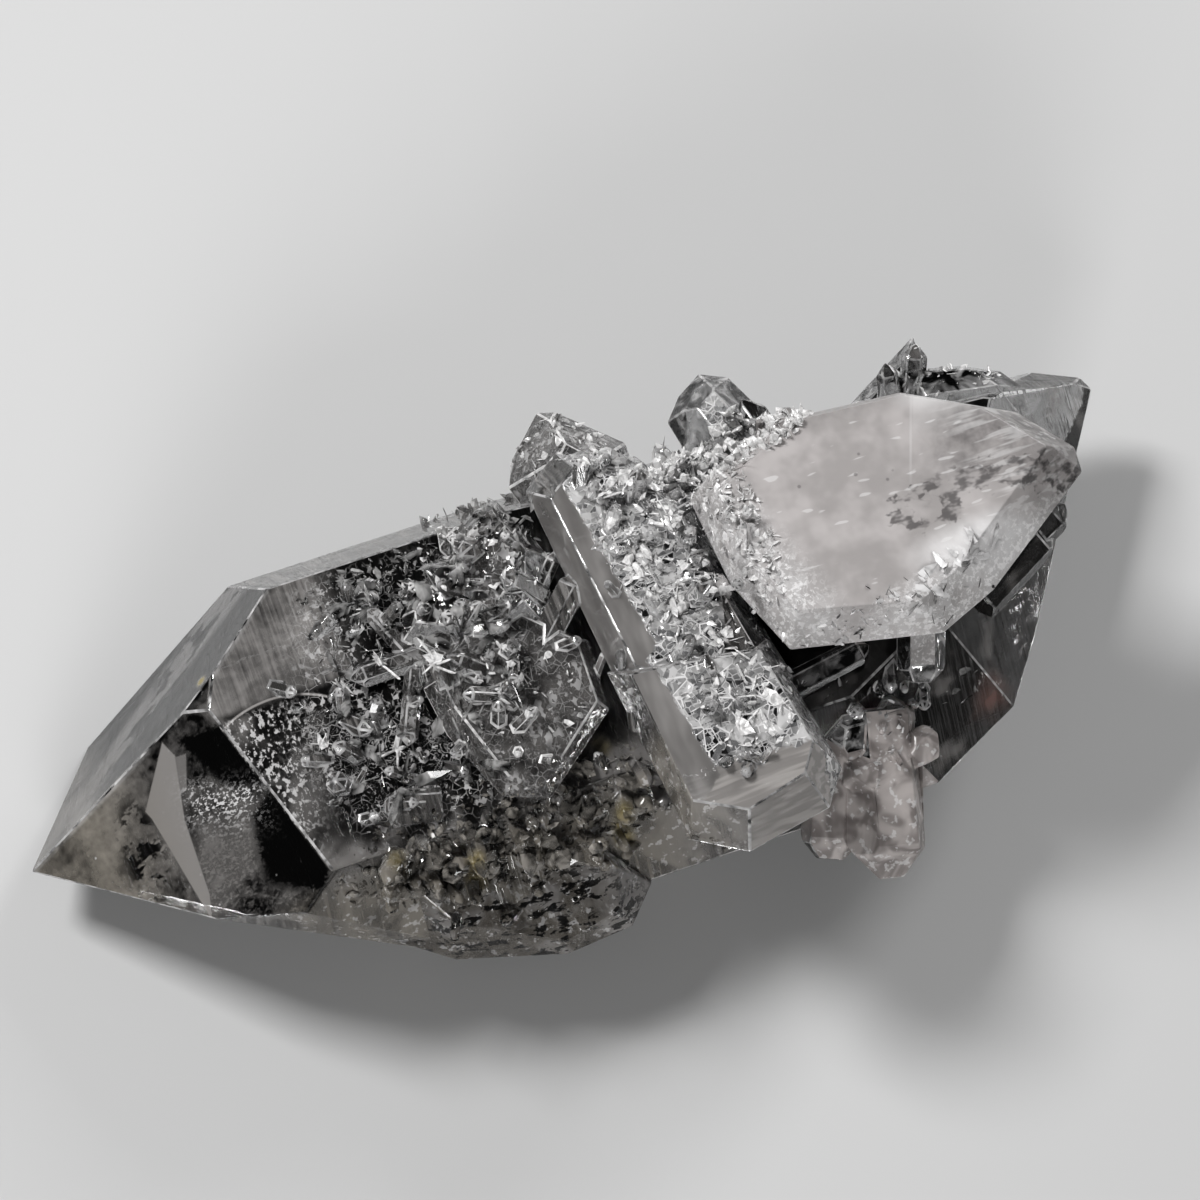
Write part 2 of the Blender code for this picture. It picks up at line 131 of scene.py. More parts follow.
class Sheet:
    """A material that is being made: its nodes, and the place on the piece that its patterns read."""

    def __init__(self, name: str) -> None:
        """Starts a material with nothing but its output.

        Args:
            name: The material's name.
        """
        self.material = bpy.data.materials.new(name)
        self.material.use_nodes = True
        self.tree = self.material.node_tree
        self.tree.nodes.clear()
        self.output = self.tree.nodes.new("ShaderNodeOutputMaterial")
        place = self.tree.nodes.new("ShaderNodeTexCoord").outputs["Object"]
        scaled = self.vector("DIVIDE", place, (MM, MM, MM))
        self.place = self.vector("SUBTRACT", scaled, tuple(SHIFT))
        split = self.make("ShaderNodeSeparateXYZ", {}, {0: self.place})
        self.x, self.y, self.z = (Value(self, split.outputs[axis]) for axis in range(3))

    def make(self, kind: str, settings: dict[str, Any], inputs: dict[Any, Any]) -> Any:
        """Adds a node.

        Args:
            kind: The node's type.
            settings: Its properties, set first.
            inputs: The value, colour or link of each socket, by name or number.

        Returns:
            The node.
        """
        node = self.tree.nodes.new(kind)
        for name, setting in settings.items():
            setattr(node, name, setting)
        for name, given in inputs.items():
            socket = node.inputs[name]
            given = given.socket if isinstance(given, Value) else given
            if isinstance(given, bpy.types.NodeSocket):
                self.tree.links.new(given, socket)
            else:
                socket.default_value = (*given, 1.0) if socket.type == "RGBA" else given
        return node

    def node(
        self, kind: str, settings: dict[str, Any], inputs: dict[Any, Any], output: Any = 0
    ) -> Value:
        """Adds a node as make() does and takes one of its outputs as a number."""
        return Value(self, self.make(kind, settings, inputs).outputs[output])

    def vector(self, operation: str, *inputs: Any, output: str = "Vector") -> Any:
        """Adds a Vector Math node for some vectors and takes one of its outputs."""
        node = self.make("ShaderNodeVectorMath", {"operation": operation}, dict(enumerate(inputs)))
        return node.outputs[output]

    def noise(
        self,
        grain: float,
        detail: float,
        rough: float = 0.55,
        warp: float = 0.0,
        stretch: Triple = (1.0, 1.0, 1.0),
    ) -> Value:
        """Cloudy noise.

        Args:
            grain: The size of its clouds, in millimetres.
            detail: How many finer layers it has.
            rough: How strong they are.
            warp: How much it is twisted.
            stretch: How much longer its clouds are along each axis.

        Returns:
            The noise, mostly from 0.3 to 0.7.
        """
        place = self.vector("DIVIDE", self.place, tuple(grain * factor for factor in stretch))
        inputs = {"Vector": place, "Scale": 1.0, "Detail": detail, "Roughness": rough}
        return self.node("ShaderNodeTexNoise", {}, {**inputs, "Distortion": warp})

    def cells(self, grain: float, feature: str = "F1", output: str = "Distance") -> Value:
        """Cell noise with cells of grain millimetres, of which one output is taken."""
        inputs = {"Vector": self.vector("DIVIDE", self.place, (grain,) * 3), "Scale": 1.0}
        return self.node("ShaderNodeTexVoronoi", {"feature": feature}, inputs, output)

    def shards(self, grain: float) -> tuple[Value, Value]:
        """Angular flakes that lie edge to edge.

        Args:
            grain: The size of a flake, in millimetres.

        Returns:
            Which flakes are bright, as 0 or 1, and each flake's own number.
        """
        place = self.vector("DIVIDE", self.place, (grain, grain * 1.5, grain))
        settings = {"feature": "F1", "distance": "MANHATTAN"}
        own = self.node("ShaderNodeTexVoronoi", settings, {"Vector": place, "Scale": 1.0}, "Color")
        return own.ramp(0.60, 0.64), own

    def rims(self, grain: float, width: float = 0.06) -> Value:
        """Thin broken lines round flakes of grain millimetres; width is a share of the grain."""
        lines = self.cells(grain, "DISTANCE_TO_EDGE").ramp(width, width * 0.4)
        return lines * self.noise(grain * 1.6, 2.0).ramp(0.44, 0.52)

    def curls(self, grain: float) -> Value:
        """Thin curled lines, like the edges of tiny growth steps, grain millimetres apart."""
        return self.noise(grain, 2.0, 0.6, 1.4).distance(0.5).ramp(0.016, 0.005)

    def blob(self, centre: Triple, radii: Triple) -> Value:
        """How near a place is to the middle of an ellipsoid.

        Args:
            centre: Its centre in millimetres.
            radii: Its radii in millimetres.

        Returns:
            0 at the centre, 1 at the surface and more outside.
        """
        away = self.vector("SUBTRACT", self.place, centre)
        scaled = self.vector("DIVIDE", away, radii)
        return Value(self, self.vector("LENGTH", scaled, output="Value"))

    def side(self, point: tuple[float, ...], heading: tuple[float, ...]) -> Value:
        """How far a place is past a plane.

        Args:
            point: A point of the plane, in millimetres.
            heading: The direction that its past side lies in.

        Returns:
            The distance, negative before the plane.
        """
        normal = Vector((*heading, 0.0)[:3]).normalized()
        away = self.vector("SUBTRACT", self.place, Vector((*point, 0.0)[:3]))
        return Value(self, self.vector("DOT_PRODUCT", away, normal, output="Value"))

    def within(self, corners: tuple[tuple[float, float], ...], soft: float) -> Value:
        """A patch with straight edges, seen from above.

        Args:
            corners: The corners of its convex outline, in millimetres, going round either way.
            soft: How far its edge fades.

        Returns:
            1 inside and 0 outside.
        """
        middle = sum((Vector(corner) for corner in corners), Vector((0.0, 0.0))) / len(corners)
        depth = None
        for start, end in zip(corners, corners[1:] + corners[:1]):
            along = Vector(end) - Vector(start)
            inward = Vector((-along.y, along.x))
            if inward.dot(middle - Vector(start)) < 0.0:
                inward = -inward
            reach = self.side(start, tuple(inward))
            depth = reach if depth is None else depth.least(reach)
        return depth.ramp(-soft / 2.0, soft / 2.0)

    def colour(self, factor: Value, first: Any, second: Any) -> Any:
        """Mixes two colours or their sockets, with all of the first where factor is 0."""
        inputs = {"Factor": factor, 6: first, 7: second}
        return self.make("ShaderNodeMix", {"data_type": "RGBA"}, inputs).outputs[2]

    def bump(self, height: Value, depth: float) -> Any:
        """The normals of a relief from 0 to 1 that is depth millimetres deep."""
        inputs = {"Height": height, "Distance": depth * MM, "Strength": 1.0}
        return self.make("ShaderNodeBump", {}, inputs).outputs["Normal"]

    def finished(self, shader: Any) -> bpy.types.Material:
        """Gives the shader to the output and returns the material."""
        self.tree.links.new(shader, self.output.inputs["Surface"])
        return self.material


@dataclass(frozen=True)
class Quartz:
    """Quartz: clear under a cloudy veil."""

    clear_roughness: float = 0.015
    veil_roughness: float = 0.26
    ior: float = 1.544

    def finish(
        self, sheet: Sheet, veil: Value, colour: Any, tint: Any, normal: Any
    ) -> bpy.types.Material:
        """Lays the veil over the clear quartz.

        Args:
            sheet: The material.
            veil: How cloudy it is.
            colour: The veil's colour or its socket.
            tint: The clear quartz's colour or its socket.
            normal: The normal's socket.

        Returns:
            The material.
        """
        clear = self.surface(sheet, tint, self.clear_roughness, 1.0, normal)
        cloud = self.surface(sheet, colour, self.veil_roughness, 0.0, normal)
        layers = {0: veil.clamped(), 1: clear, 2: cloud}
        return sheet.finished(sheet.make("ShaderNodeMixShader", {}, layers).outputs[0])

    def surface(self, sheet: Sheet, colour: Any, roughness: float, through: float, normal: Any) -> Any:
        """One of the two layers.

        Args:
            sheet: The material.
            colour: Its colour or its socket.
            roughness: How matt it is.
            through: The share of light that it lets through.
            normal: The normal's socket.

        Returns:
            The shader's socket.
        """
        inputs = {
            "Base Color": colour,
            "Roughness": roughness,
            "IOR": self.ior,
            "Transmission Weight": through,
            "Normal": normal,
        }
        return sheet.make("ShaderNodeBsdfPrincipled", {}, inputs).outputs[0]


GLASSY = (0.85, 0.85, 0.85)
PALE = (0.74, 0.74, 0.74)
SMOKE = (0.34, 0.34, 0.345)
# DARK darkens what is seen through the quartz: painted shade where its see-through parts show only
# darkness, and the black inclusions of the bulge.
DARK = (0.08, 0.08, 0.085)
NEUTRAL = (0.34, 0.326, 0.316)
# The grey of the painted sheen on the crossing crystal.
SHEEN_GREY = (0.25, 0.24, 0.233)
WARM = (0.29, 0.268, 0.235)
BROWN = (0.22, 0.20, 0.175)
MILK = (0.54, 0.511, 0.505)
# BRIGHT whitens frost and crust, and is also the colour of painted glints and painted edge highlights.
BRIGHT = (0.86, 0.85, 0.85)
IRON = (0.36, 0.28, 0.06)
RUST = (0.36, 0.12, 0.08)

STAINS = ((-3.5, -12.7), (-13.5, -12.6), (-18.3, -11.2), (-3.4, -8.1))
STAIN_RADII = (0.8, 1.0, 9.0)
STAIN_HEIGHT = 12.0


def stains(sheet: Sheet, fine: Value) -> Value:
    """The yellow iron stains of the lower front.

    Args:
        sheet: The material.
        fine: Fine grain, which frays them.

    Returns:
        How strong the stain is.
    """
    spread = Value(sheet, 0.0)
    for x, y in STAINS:
        spread = spread.most(sheet.blob((x, y, STAIN_HEIGHT), STAIN_RADII).ramp(1.3, 0.2))
    return spread * (fine + 0.1) * 0.9


class MainFinish:
    """The main crystal: clear, darkened by painted shade where it is seen through, with grey veils,
    painted glints and a light band in its point that is a painted reflection.
    """

    FRONT_POINT = (-40.2, 0.4, 5.0)
    FRONT_NORMAL = (-0.595, -0.182, 0.783)
    BACK_NORMAL = (-0.575, 0.653, 0.494)
    BROAD_FACE = 16.108
    # BAND_UPPER, BAND_LOWER and SLIVER outline the painted reflection in the point; the windows, the
    # blotches and STAR_ZONE take painted shade.
    BAND_UPPER = ((-29.7, 2.7), (-32.1, -0.5), (-30.9, -3.6), (-29.9, -2.4), (-29.2, 1.5))
    BAND_LOWER = ((-32.0, -0.4), (-30.3, -9.0), (-29.9, -7.4), (-29.9, -2.4))
    SLIVER = ((-29.2, 1.4), (-29.6, -0.8), (-29.2, -0.9), (-28.5, 1.2))
    WINDOW_UPPER = ((-29.0, 2.5), (-26.0, 1.5), (-24.2, -3.6), (-27.5, -1.6), (-28.4, 1.2))
    WINDOW_LOWER = ((-25.8, -4.6), (-24.2, -3.6), (-22.3, -9.8), (-23.1, -11.4), (-26.4, -8.8))
    FROST = ((-29.5, -0.4), (-24.5, -2.6), (-25.0, -5.6), (-29.7, -2.9))
    BACK_BAND = ((-21.8, 15.0), (-41.0, 1.0), (-40.2, -0.6), (-20.6, 12.2))
    POINT_BLOTCHES = ((-33.0, -2.8, 9.8), (1.7, 4.6, 4.0))
    SHELL_ARC = ((-22.4, -4.6, 16.1), (6.6, 6.7, 9.0))
    TIP_STAIN = ((-26.0, 5.1, 14.4), (0.5, 0.8, 1.2))
    RUST_SPOT = ((23.5, -11.9, 12.0), (3.2, 2.6, 4.4))
    STAR_ZONE = ((-17.6, 9.4), (-7.0, 8.0), (-7.0, -9.6), (-18.8, -10.6), (-22.4, -2.6), (-20.4, 3.0))

    def __init__(self) -> None:
        """Starts the material with its broad clouds and its fine grain."""
        self.sheet = Sheet("main_crystal")
        self.soft = self.sheet.noise(4.0, 2.5, 0.55, 0.8)
        self.fine = self.sheet.noise(0.55, 2.0, 0.6)

    def make(self) -> bpy.types.Material:
        """The finish.

        Returns:
            The material.
        """
        sheet, soft, fine = self.sheet, self.soft, self.fine
        front = sheet.side(self.FRONT_POINT, self.FRONT_NORMAL).distance(0.0).ramp(0.35, 0.15)
        back = sheet.side(self.FRONT_POINT, self.BACK_NORMAL).distance(0.0).ramp(0.35, 0.15)
        top = sheet.z.distance(self.BROAD_FACE).ramp(0.15, 0.05)
        rest = (1.0 - front - back - top).clamped()
        front_veil, front_dark, front_flakes = self.point_front()
        top_veil, top_dark, top_flakes = self.broad_face()
        crumbs = sheet.y.ramp(-9.8, -11.4) * sheet.x.ramp(5.0, 1.0) * fine.ramp(0.56, 0.64) * 0.5
        veil = (front_veil * front).most(self.back_veil() * back)
        veil = veil.most(top_veil * top).most(self.rest_veil() * rest)
        # Painted shade: the dark tint darkens the point's windows and blotches, the back face, the
        # broad face's star zone and the far right end, where only darkness shows through.
        far_right = sheet.x.ramp(10.0, 14.0) * sheet.y.ramp(6.0, 2.0)
        dark = (front_dark * front).most(back * 0.96).most(top_dark * top)
        dark = dark.most(far_right * 0.85).most(rest * soft.ramp(0.46, 0.40) * 0.4)
        tint = sheet.colour(dark, PALE, DARK)
        warm = sheet.x.ramp(-29.0, -36.0).most(sheet.y.ramp(-10.0, -12.0) * sheet.x.ramp(4.0, -3.0))
        colour = sheet.colour(warm, NEUTRAL, WARM)
        # The flakes whiten the colour: frost and crumbs, and painted glints in the star zone.
        flakes = (front_flakes * front).most(top_flakes * top).most(back * 0.25).most(crumbs * rest)
        colour = sheet.colour(flakes, colour, BRIGHT)
        stain = sheet.blob(*self.TIP_STAIN).ramp(1.2, 0.5)
        stain = stain.most(stains(sheet, fine))
        colour = sheet.colour(stain, colour, IRON)
        rust = (sheet.blob(*self.RUST_SPOT) + (soft - 0.5) * 0.8).ramp(1.1, 0.2)
        colour = sheet.colour(rust * 0.9, colour, RUST)
        veil = veil.most(stain * 0.8).most(rust * 0.55)
        ridges = sheet.noise(0.9, 2.0, 0.6, 0.0, (0.4, 9.0, 9.0))
        veil = veil.most(rest * sheet.x.ramp(12.0, 4.0) * (ridges.ramp(0.44, 0.66) * 0.4 + 0.14))
        normal = sheet.bump(sheet.noise(2.0, 1.0, 0.5) + ridges * rest, 0.06)
        return Quartz().finish(sheet, veil, colour, tint, normal)

    def point_front(self) -> tuple[Value, Value, Value]:
        """The point's front face, with painted shade in its dark windows and blotches and a light band
        that is a painted reflection.

        Returns:
            How cloudy it is, how dark its painted shade is and how flaky it is.
        """
        sheet, soft, fine = self.sheet, self.soft, self.fine
        veil = sheet.x.ramp(-29.5, -33.5) * 0.38 + (soft - 0.5) * 1.3 + (fine - 0.5) * 0.6 + 0.14
        # The dark tint is painted shade over the whole face, weaker towards the tip.
        dark = 0.55 - sheet.x.ramp(-30.5, -34.0) * 0.30
        blotch = sheet.noise(1.5, 3.0, 0.68, 0.0, (1.8, 0.8, 1.0))
        near = sheet.blob(*self.POINT_BLOTCHES).ramp(1.1, 0.5)
        blotch = blotch.ramp(0.50, 0.56) * near
        veil = veil * (1.0 - blotch)
        grain = sheet.noise(0.26, 2.0, 0.7, 0.0, (1.6, 0.8, 1.0))
        low = sheet.y.ramp(-2.4, -4.4) * sheet.x.ramp(-31.0, -30.0)
        veil = veil.most(low * (soft.ramp(0.36, 0.62) * 0.32 + grain.ramp(0.46, 0.66) * 0.22))
        dark = dark.most(low * 0.8)
        flakes = sheet.within(self.FROST, 2.4) * grain.ramp(0.48, 0.60)
        flakes = flakes.most(sheet.cells(1.0).ramp(0.11, 0.06) * soft.ramp(0.42, 0.58) * 0.8)
        veil = veil.most(flakes * 0.7)
        # The windows are painted shade: they clear the veil and darken the tint.
        windows = sheet.within(self.WINDOW_UPPER, 1.6).most(sheet.within(self.WINDOW_LOWER, 2.2))
        windows = (windows + (grain - 0.5) * 0.9 + (soft - 0.5) * 0.8).ramp(0.30, 0.70)
        veil = veil * (1.0 - windows * (1.0 - flakes * 0.5))
        # The light band is a painted reflection, laid on as veil.
        band = sheet.within(self.BAND_UPPER, 0.15).most(sheet.within(self.BAND_LOWER, 0.15))
        band = band * 0.74
        veil = veil.most(band + sheet.within(self.SLIVER, 0.15) * 0.5)
        return veil, dark.most(windows).most(blotch * 0.9), flakes * (1.0 - band)

    def back_veil(self) -> Value:
        """The veils of the point's back face: a torn light band along its rim.

        Returns:
            How cloudy it is.
        """
        sheet = self.sheet
        torn = sheet.noise(2.0, 3.0, 0.65, 0.0, (2.4, 1.0, 1.0)).ramp(0.44, 0.48)
        band = sheet.within(self.BACK_BAND, 1.0) * (torn * 0.34)
        low = sheet.x.ramp(-32.0, -36.5) * (self.soft * 0.7)
        return band.most(low) + self.fine.ramp(0.68, 0.70) * 0.25

    def broad_face(self) -> tuple[Value, Value, Value]:
        """The broad upper face: growth lines, a painted sheen on its upper left part, a shell-like
        arc, gaps darkened by painted shade, painted glints and wisps.

        Returns:
            How cloudy it is, how dark its painted shade is and how much frost and painted glint it
            has.
        """
        sheet, soft, fine = self.sheet, self.soft, self.fine
        lines = sheet.noise(0.8, 2.0, 0.6, 0.0, (0.30, 9.0, 1.0))
        # The upper left part's veil is a painted sheen, streaked with growth lines.
        upper = sheet.y.ramp(1.6, 2.4) * sheet.x.ramp(-14.8, -18.4)
        veil = upper * (0.50 + (lines - 0.5) * 0.75 + (soft - 0.5) * 1.1 + (fine - 0.5) * 0.4)
        edge = sheet.side((-19.0, 0.0), (-1.0, 0.28))
        lower = sheet.y.ramp(2.0, 1.2) * edge.ramp(-0.6, 2.6)
        grains = sheet.noise(0.36, 2.0, 0.7, 0.0, (0.8, 1.2, 1.0)).ramp(0.50, 0.62)
        veil = veil.most(lower * (soft.ramp(0.38, 0.68) * 0.46 + grains * 0.26))
        arc = sheet.blob(*self.SHELL_ARC).distance(1.0).ramp(0.022, 0.004)
        veil = veil.most(arc * sheet.y.ramp(-1.0, 0.5) * 0.85 * sheet.x.ramp(-16.5, -18.0))
        # In the star zone the curls, rims and shards are painted glints over painted shade.
        star = sheet.within(self.STAR_ZONE, 4.0)
        curls = sheet.curls(0.7) * soft.ramp(0.42, 0.52)
        glint_chips, _ = sheet.shards(0.5)
        curls = curls.most(sheet.rims(0.6) * 0.7)
        flakes = (lower * grains * 0.8).most(star * 0.8 * curls.most(glint_chips * fine.ramp(0.52, 0.60)))
        veil = veil.most(flakes * 0.8)
        front = sheet.y.ramp(-7.0, -10.0) * (soft.ramp(0.34, 0.56) * 0.5)
        veil = veil.most(front * sheet.x.ramp(4.0, 1.0))
        wisps = sheet.noise(3.0, 2.0, 0.5, 0.0, (1.0, 1.5, 1.0)).ramp(0.52, 0.76)
        right = sheet.x.ramp(9.0, 12.0) * (wisps * 0.5 + sheet.x.ramp(28.0, 34.0) * 0.15)
        # The dark tint is painted shade, deepest in the star zone.
        dark = (star * (soft + 0.8)).clamped().most(0.62 - lower * 0.2 - upper * 0.3)
        return veil.most(right) + 0.01, dark, flakes

    def rest_veil(self) -> Value:
        """The veils of every other face, with the dull crust of the lower front.

        Returns:
            How cloudy it is.
        """
        sheet = self.sheet
        crust = sheet.y.ramp(-9.8, -11.4) * sheet.x.ramp(5.0, 1.0)
        crust = crust * (self.soft.ramp(0.3, 0.6) * 0.5 + 0.22)
        wisps = sheet.noise(2.6, 2.0, 0.5).ramp(0.50, 0.74)
        right = sheet.x.ramp(12.0, 20.0) * (wisps * 0.45 + 0.05)
        return crust.most(right) + 0.02


class BulgeFinish:
    """The bulge: dull brownish grey with black inclusions and a lighter end."""

    INCLUSIONS = ((-11.4, -15.8, 7.0), (8.8, 5.2, 7.0))

    def make(self) -> bpy.types.Material:
        """The finish.

        Returns:
            The material.
        """
        sheet = Sheet("bulge")
        soft = sheet.noise(2.6, 2.0, 0.6)
        fine = sheet.noise(0.5, 2.0, 0.65)
        specks = sheet.noise(0.7, 3.0, 0.65, 0.3, (1.9, 1.0, 0.8)) + (soft - 0.5) * 0.35
        where = sheet.blob(*self.INCLUSIONS).ramp(1.1, 0.8)
        specks = specks.ramp(0.52, 0.57) * where
        end = sheet.x.ramp(-8.0, -4.0)
        veil = 0.48 + (soft - 0.5) * 1.0 + end * 0.15
        veil = veil * (1.0 - specks * 0.95)
        colour = sheet.colour(soft.ramp(0.46, 0.66).most(end * 0.8), BROWN, NEUTRAL)
        # The bright shards are painted glints.
        glint_chips, own = sheet.shards(0.45)
        colour = sheet.colour(glint_chips * fine.ramp(0.50, 0.60) * 0.7 + end * 0.15, colour, BRIGHT)
        colour = sheet.colour(stains(sheet, fine), colour, IRON)
        tint = sheet.colour(specks.most(0.5 + own * 0.2), PALE, DARK)
        normal = sheet.bump(sheet.noise(1.3, 2.0, 0.6), 0.14)
        return Quartz().finish(sheet, veil, colour, tint, normal)


class BlockFinish:
    """The crossing crystal: two smooth grey strips of painted sheen, tops frosted by tiny growth with
    painted glints, and stepped ends.
    """

    # The two strips outline a painted sheen.
    UPPER_BAND = ((-3.0, 9.8), (-0.6, 9.2), (1.4, -5.2), (-2.6, -9.0))
    LOWER_BAND = ((-2.6, -4.8), (0.2, -4.8), (2.0, -15.2), (-1.6, -17.8))
    CLEAR_FOOT = ((-0.9, -14.6), (8.8, -15.0), (8.4, -19.0), (2.0, -20.0), (-1.2, -17.8))
    WINDOW = ((6.3, -7.0, 20.0), (1.7, 2.2, 6.0))
    STREAK = (0.33, 0.318, 0.31)
    FOOT = (0.44, 0.42, 0.405)
    DIM_FLAKE = (0.30, 0.30, 0.305)
    FLAKE = (0.62, 0.615, 0.61)

    def make(self) -> bpy.types.Material:
        """The finish.

        Returns:
            The material.
        """
        sheet = Sheet("crossing_crystal")
        soft = sheet.noise(3.0, 2.5, 0.6, 0.8)
        fine = sheet.noise(0.7, 2.0, 0.6)
        sheen_bands = sheet.within(self.LOWER_BAND, 1.2).most(sheet.within(self.UPPER_BAND, 1.2))
        sheen_bands = (sheen_bands + (fine - 0.5) * 0.6).ramp(0.40, 0.60)
        foot = (sheet.within(self.CLEAR_FOOT, 1.6) + (fine - 0.5) * 1.2).ramp(0.40, 0.60)
        frosted = (1.0 - sheen_bands.most(foot)).clamped()
        large = sheet.cells(1.0, "F1", "Color")
        small = sheet.cells(0.42, "F1", "Color")
        tone = large * 0.5 + small * 0.5 + (soft - 0.5) * 1.0
        hatch = sheet.noise(0.45, 1.0, 0.5, 0.0, (4.0, 0.4, 1.0))
        hatch = hatch.most(sheet.noise(0.45, 1.0, 0.5, 0.0, (0.4, 4.0, 1.0))).ramp(0.63, 0.68)
        rims = sheet.rims(1.0).most(sheet.rims(0.42, 0.10) * 0.8)
        # The bright shards, rims and hatching are painted glints over the frost.
        glint_chips = (tone.ramp(0.62, 0.72) * 0.8).most(rims).most(hatch * 0.7) * frosted
        # The window and the gaps are painted shade: fewer painted glints, less veil and a dark
        # see-through tint.
        window = sheet.blob(*self.WINDOW).ramp(1.3, 0.6)
        glint_chips = glint_chips * (1.0 - window * 0.8)
        gaps = tone.ramp(0.34, 0.24).most(window * 0.9) * frosted
        steps = sheet.noise(1.0, 1.0, 0.5, 0.0, (7.0, 0.45, 0.6))
        streaks = sheet.noise(1.6, 2.0, 0.5, 0.0, (0.8, 3.0, 1.0))
        # calm holds the painted sheen of the strips and the stepped veil of the clear foot.
        calm = sheen_bands * (0.70 + (streaks - 0.5) * 0.5)
        calm = calm + foot * (0.56 + steps.ramp(0.44, 0.60) * 0.22) * (1.0 - sheen_bands)
        veil = frosted * (0.30 + tone * 0.42) * (1.0 - gaps * 0.9) + calm
        veil = veil.most(glint_chips * 0.85)
        # The strips take the grey of the painted sheen, with lighter streaks.
        colour = sheet.colour(streaks.ramp(0.36, 0.70), SHEEN_GREY, self.STREAK)
        colour = sheet.colour(foot * (1.0 - sheen_bands), colour, self.FOOT)
        flakes = sheet.colour(tone.ramp(0.35, 0.65), self.DIM_FLAKE, self.FLAKE)
        colour = sheet.colour(frosted, colour, flakes)
        colour = sheet.colour(glint_chips, colour, BRIGHT)
        tint = sheet.colour(gaps.most(0.25), GLASSY, DARK)
        relief = sheet.noise(0.8, 1.0) * frosted + steps * foot * 0.6
        normal = sheet.bump(relief, 0.14)
        return Quartz(veil_roughness=0.2).finish(sheet, veil, colour, tint, normal)


class PlateFinish:
    """The thin plates: clear, with curled growth steps and a few white flakes that are painted glints.
    """

    def make(self) -> bpy.types.Material:
        """The finish.

        Returns:
            The material.
        """
        sheet = Sheet("plates")
        soft = sheet.noise(2.6, 2.0, 0.6)
        bright, own = sheet.shards(0.3)
        glint_chips = (bright * soft.ramp(0.42, 0.62) * 0.8).most(sheet.curls(0.7) * 0.6)
        glint_chips = glint_chips.most(sheet.rims(0.6) * 0.6)
        veil = (0.22 + (soft - 0.5) * 1.0).most(glint_chips * 0.62)
        colour = sheet.colour(glint_chips, NEUTRAL, BRIGHT)
        tint = sheet.colour((soft + own * 0.3 - 0.1).clamped(), GLASSY, DARK)
        normal = sheet.bump(sheet.noise(1.2, 1.0, 0.5), 0.30)
        return Quartz(veil_roughness=0.2).finish(sheet, veil, colour, tint, normal)


